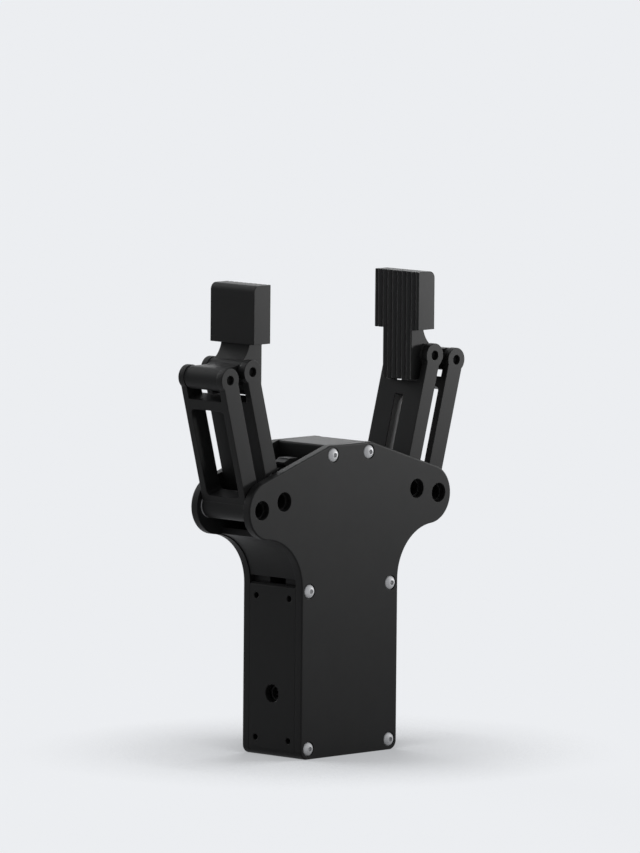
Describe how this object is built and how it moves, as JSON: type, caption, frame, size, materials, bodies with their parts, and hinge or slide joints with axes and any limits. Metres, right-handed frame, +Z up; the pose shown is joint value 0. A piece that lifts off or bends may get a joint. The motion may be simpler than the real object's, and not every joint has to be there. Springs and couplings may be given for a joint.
{
  "type": "electric two finger gripper",
  "caption": "Electric parallel gripper: a flat black housing with two fingers on four-bar links, driven by a lead screw, racks and sector gears.",
  "frame": {"origin": "middle of the housing's underside", "axes": "+X across the fingers, +Y through the depth towards the rear cover (the front cover faces -Y), +Z up from the base to the finger tips"},
  "size_m": [0.115, 0.0286, 0.1572],
  "materials": {
    "black_anodised": "matte black anodised",
    "black_steel": "blackened",
    "screw_steel": "plain stainless",
    "gear_steel": "black oxide, oiled",
    "bronze": "sintered",
    "board": "solder mask",
    "black_plastic": "moulded",
    "lead_wire": "insulation"
  },
  "bodies": {
    "housing": {"main_housing": "black_anodised", "front_cover": "black_anodised", "rear_cover": "black_anodised", "front_cover_screws": "screw_steel", "rear_cover_screws": "screw_steel", "link_frame": "black_anodised", "link_frame_screws": "screw_steel", "top_bridge": "black_anodised", "guide_rods": "screw_steel", "motor_mount": "screw_steel", "motor": "screw_steel", "encoder": "black_plastic", "gearbox": "gear_steel", "gearbox_screws": "screw_steel", "control_board": "board", "board_chips": "black_plastic", "board_screws": "screw_steel", "cable_socket": "black_plastic", "motor_leads": "lead_wire", "lower_bearing": "screw_steel", "upper_bearing": "screw_steel", "drive_link_pins": "black_steel", "follower_link_pins": "black_steel", "pivot_washers": "screw_steel"},
    "screw": {"output_shaft": "screw_steel", "shaft_coupling": "screw_steel", "lead_screw": "gear_steel"},
    "crosshead": {"crosshead": "gear_steel", "screw_nut": "bronze", "guide_bushes": "bronze"},
    "left_drive": {"left_drive_link": "black_anodised", "left_sector_gear": "gear_steel", "left_gear_dowel": "screw_steel"},
    "left_follower": {"left_follower_link": "black_anodised"},
    "left_finger": {"left_finger": "black_anodised", "left_finger_pins": "black_steel"},
    "right_drive": {"right_drive_link": "black_anodised", "right_sector_gear": "gear_steel", "right_gear_dowel": "screw_steel"},
    "right_follower": {"right_follower_link": "black_anodised"},
    "right_finger": {"right_finger": "black_anodised", "right_finger_pins": "black_steel"}
  },
  "joints": [
    {"name": "left_drive_swing", "type": "hinge", "parent": "housing", "child": "left_drive", "pos_m": [-0.0314, 0, 0.086], "axis": [0, 1, 0], "range_deg": [0, 46.4]},
    {"name": "left_follower_swing", "type": "hinge", "parent": "housing", "child": "left_follower", "pos_m": [-0.0418, 0, 0.0839], "axis": [0, 1, 0], "range_deg": [0, 46.4]},
    {"name": "left_finger_swing", "type": "hinge", "parent": "left_drive", "child": "left_finger", "pos_m": [-0.04312, 0, 0.12914], "axis": [0, -1, 0], "range_deg": [0, 46.4]},
    {"name": "right_drive_swing", "type": "hinge", "parent": "housing", "child": "right_drive", "pos_m": [0.0314, 0, 0.086], "axis": [0, -1, 0], "range_deg": [0, 46.4]},
    {"name": "right_follower_swing", "type": "hinge", "parent": "housing", "child": "right_follower", "pos_m": [0.0418, 0, 0.0839], "axis": [0, -1, 0], "range_deg": [0, 46.4]},
    {"name": "right_finger_swing", "type": "hinge", "parent": "right_drive", "child": "right_finger", "pos_m": [0.04312, 0, 0.12914], "axis": [0, 1, 0], "range_deg": [0, 46.4]},
    {"name": "crosshead_slide", "type": "slide", "parent": "housing", "child": "crosshead", "axis": [0, 0, -1], "range_m": [0, 0.00974]},
    {"name": "screw_spin", "type": "hinge", "parent": "housing", "child": "screw", "pos_m": [0, 0, 0.08], "axis": [0, 0, 1], "range_deg": [0, 1750]}
  ],
  "couplings": [
    {"joint": "left_follower_swing", "follows": "left_drive_swing", "ratio": 1},
    {"joint": "left_finger_swing", "follows": "left_drive_swing", "ratio": 1},
    {"joint": "right_drive_swing", "follows": "left_drive_swing", "ratio": 1},
    {"joint": "right_follower_swing", "follows": "left_drive_swing", "ratio": 1},
    {"joint": "right_finger_swing", "follows": "left_drive_swing", "ratio": 1},
    {"joint": "crosshead_slide", "follows": "left_drive_swing", "m_per_rad": 0.012},
    {"joint": "screw_spin", "follows": "left_drive_swing", "ratio": 37.699}
  ]
}
